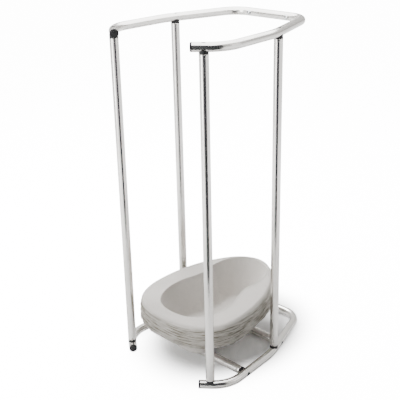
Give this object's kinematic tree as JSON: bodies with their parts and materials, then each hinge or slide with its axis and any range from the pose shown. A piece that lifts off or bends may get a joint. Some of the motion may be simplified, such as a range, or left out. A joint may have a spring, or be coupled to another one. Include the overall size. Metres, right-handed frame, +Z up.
{
  "type": "bedpan stack with rack",
  "caption": "Nested moulded-pulp bedpans standing in a tall open-fronted rack of stainless tube with black saddle plugs and end caps.",
  "frame": {"origin": "on the floor, under the middle of the outer box, in the plane of symmetry", "axes": "+Z up, +Y from the rack's open front towards its back, +X to the right of someone facing the open front"},
  "size_m": [0.3832, 0.4533, 0.88],
  "materials": {
    "stainless_tube": "satin polished stainless steel tube",
    "black_nylon": "moulded matt black nylon",
    "zinc_screw": "bright zinc plated fastener",
    "brass_insert": "machined brass",
    "moulded_pulp": "rough warm light grey moulded paper pulp"
  },
  "bodies": {
    "rack": {"base_rail": "stainless_tube", "top_rail": "stainless_tube", "post_front_left": "stainless_tube", "post_front_right": "stainless_tube", "post_rear_left": "stainless_tube", "post_rear_right": "stainless_tube", "cross_bar_front": "stainless_tube", "cross_bar_rear": "stainless_tube", "cap_base_left": "black_nylon", "cap_base_right": "black_nylon", "cap_top_left": "black_nylon", "cap_top_right": "black_nylon", "plug_front_left_base": "black_nylon", "plug_front_left_top": "black_nylon", "plug_front_right_base": "black_nylon", "plug_front_right_top": "black_nylon", "plug_rear_left_base": "black_nylon", "plug_rear_left_top": "black_nylon", "plug_rear_right_base": "black_nylon", "plug_rear_right_top": "black_nylon", "plug_bar_front_left": "black_nylon", "plug_bar_front_right": "black_nylon", "plug_bar_rear_left": "black_nylon", "plug_bar_rear_right": "black_nylon", "screw_front_left_base": "zinc_screw", "screw_front_left_top": "zinc_screw", "screw_front_right_base": "zinc_screw", "screw_front_right_top": "zinc_screw", "screw_rear_left_base": "zinc_screw", "screw_rear_left_top": "zinc_screw", "screw_rear_right_base": "zinc_screw", "screw_rear_right_top": "zinc_screw", "screw_bar_front_left": "zinc_screw", "screw_bar_front_right": "zinc_screw", "screw_bar_rear_left": "zinc_screw", "screw_bar_rear_right": "zinc_screw", "wall_bolt_left": "zinc_screw", "wall_bolt_right": "zinc_screw", "insert_front_left_base": "brass_insert", "insert_front_left_top": "brass_insert", "insert_front_right_base": "brass_insert", "insert_front_right_top": "brass_insert", "insert_rear_left_base": "brass_insert", "insert_rear_left_top": "brass_insert", "insert_rear_right_base": "brass_insert", "insert_rear_right_top": "brass_insert", "insert_bar_front_left": "brass_insert", "insert_bar_front_right": "brass_insert", "insert_bar_rear_left": "brass_insert", "insert_bar_rear_right": "brass_insert"},
    "pan_1": {"pan_1": "moulded_pulp"},
    "pan_2": {"pan_2": "moulded_pulp"},
    "pan_3": {"pan_3": "moulded_pulp"},
    "pan_4": {"pan_4": "moulded_pulp"},
    "pan_5": {"pan_5": "moulded_pulp"},
    "pan_6": {"pan_6": "moulded_pulp"},
    "pan_7": {"pan_7": "moulded_pulp"}
  },
  "joints": [
    {"name": "lift_pan_1", "type": "slide", "parent": "rack", "child": "pan_1", "axis": [0, 0, 1], "range_m": [0, 0.878]},
    {"name": "lift_pan_2", "type": "slide", "parent": "pan_1", "child": "pan_2", "axis": [0, 0, 1], "range_m": [0, 0.871]},
    {"name": "lift_pan_3", "type": "slide", "parent": "pan_2", "child": "pan_3", "axis": [0, 0, 1], "range_m": [0, 0.863]},
    {"name": "lift_pan_4", "type": "slide", "parent": "pan_3", "child": "pan_4", "axis": [0, 0, 1], "range_m": [0, 0.856]},
    {"name": "lift_pan_5", "type": "slide", "parent": "pan_4", "child": "pan_5", "axis": [0, 0, 1], "range_m": [0, 0.849]},
    {"name": "lift_pan_6", "type": "slide", "parent": "pan_5", "child": "pan_6", "axis": [0, 0, 1], "range_m": [0, 0.842]},
    {"name": "lift_pan_7", "type": "slide", "parent": "pan_6", "child": "pan_7", "axis": [0, 0, 1], "range_m": [0, 0.835]}
  ]
}
